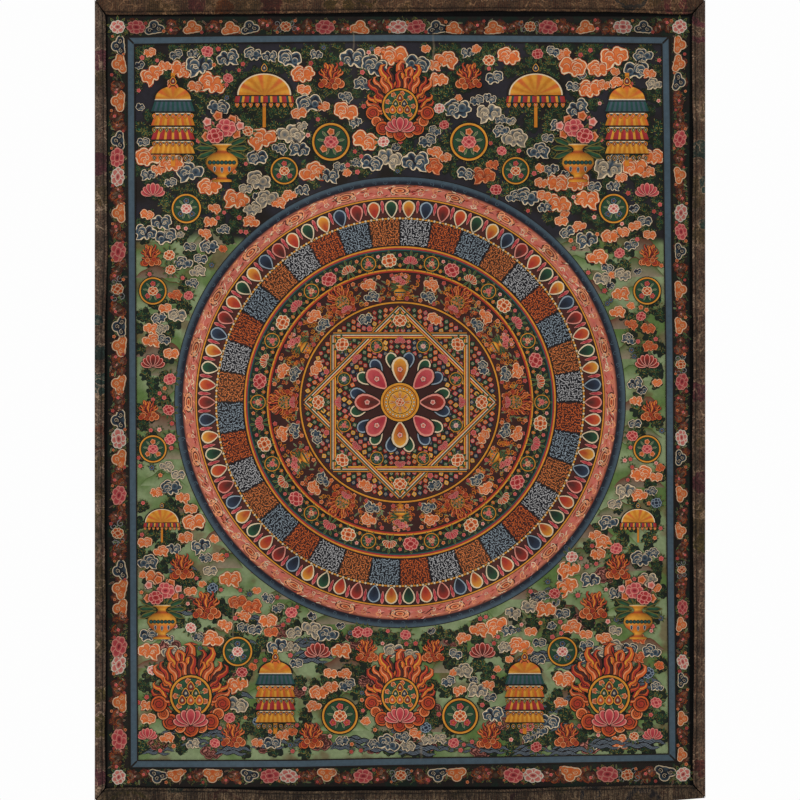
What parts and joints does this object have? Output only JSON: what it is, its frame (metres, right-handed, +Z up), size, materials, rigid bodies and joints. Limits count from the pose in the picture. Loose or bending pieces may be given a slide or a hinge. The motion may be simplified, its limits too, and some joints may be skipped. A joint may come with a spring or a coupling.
{
  "type": "thangka scroll painting",
  "caption": "Hanging painted cotton sheet with a round medallion design, framed by narrow mitred brocade strips sewn over its margins.",
  "frame": {"origin": "middle of the top edge, where the hanging is held", "axes": "+Z up, +X to the right of a viewer in front, the painted face looks towards -Y"},
  "size_m": [0.5486, 0.0069, 0.72],
  "materials": {
    "painted_cotton": "sized cotton with matt mineral paint on the front, bare primed cotton behind",
    "brocade": "dark brown ribbed brocade with a low sheen, worn and a little faded"
  },
  "bodies": {
    "root": {"painted_canvas": "painted_cotton", "brocade_top": "brocade", "brocade_right": "brocade", "brocade_bottom": "brocade", "brocade_left": "brocade"}
  },
  "joints": []
}
